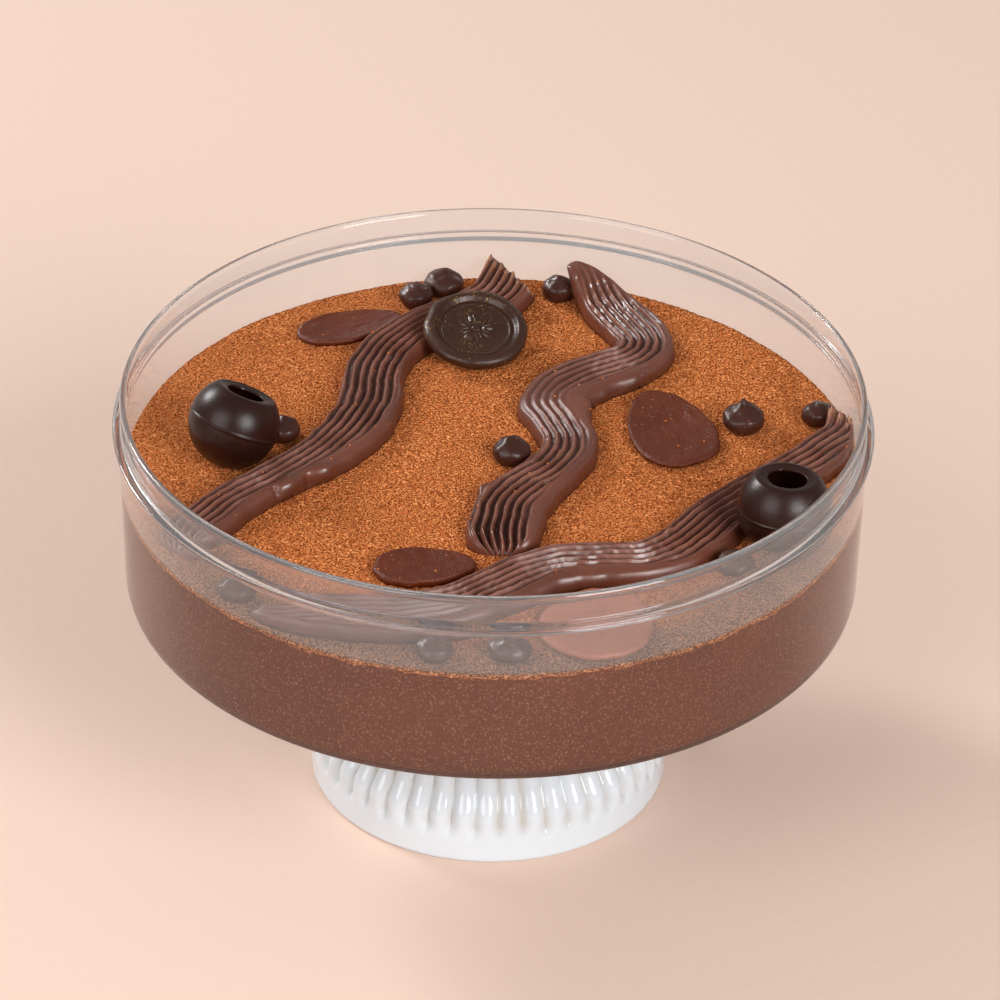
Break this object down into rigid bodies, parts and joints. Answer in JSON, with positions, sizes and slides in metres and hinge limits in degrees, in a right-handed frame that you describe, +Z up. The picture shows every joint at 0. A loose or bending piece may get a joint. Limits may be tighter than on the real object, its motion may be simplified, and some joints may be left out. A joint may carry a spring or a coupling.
{
  "type": "chocolate mousse in a clear tub on a foot",
  "caption": "Chocolate mousse with a cocoa-dusted top, combed ganache ribbons, hollow truffle shells and chocolate drops, in a clear round tub on a white fluted foot.",
  "frame": {"origin": "on the tub's axis, at the level of the foot's flat bottom", "axes": "+Z up along the tub's axis, +X to the right and +Y away from the viewer who sees the longest ribbon in front"},
  "size_m": [0.204, 0.204, 0.121],
  "materials": {
    "clear_plastic": "clear, thin, glossy plastic",
    "mousse": "soft matte aerated chocolate",
    "cocoa_powder": "fine granular cocoa powder",
    "white_glaze": "glossy white glazed ceramic",
    "ganache": "satin ganache with glossy spots",
    "glossy_chocolate": "glossy chocolate, finely pitted",
    "dark_chocolate": "satin dark chocolate",
    "seal_chocolate": "satin dark chocolate with faint gold dust"
  },
  "bodies": {
    "root": {"tub": "clear_plastic", "mousse": "mousse", "cocoa_layer": "cocoa_powder", "fluted_foot": "white_glaze", "ribbon_left": "ganache", "ribbon_middle": "ganache", "ribbon_front": "ganache", "dab_back_left": "glossy_chocolate", "dab_right": "glossy_chocolate", "dab_front_left": "glossy_chocolate", "dab_front_right": "glossy_chocolate", "chip_01": "dark_chocolate", "chip_02": "dark_chocolate", "chip_03": "dark_chocolate", "chip_04": "dark_chocolate", "chip_05": "dark_chocolate", "chip_06": "dark_chocolate", "chip_07": "dark_chocolate", "chip_08": "dark_chocolate", "chip_09": "dark_chocolate", "chip_10": "dark_chocolate", "chip_11": "dark_chocolate", "truffle_shell_left": "dark_chocolate", "truffle_shell_right": "dark_chocolate", "seal": "seal_chocolate"}
  },
  "joints": []
}
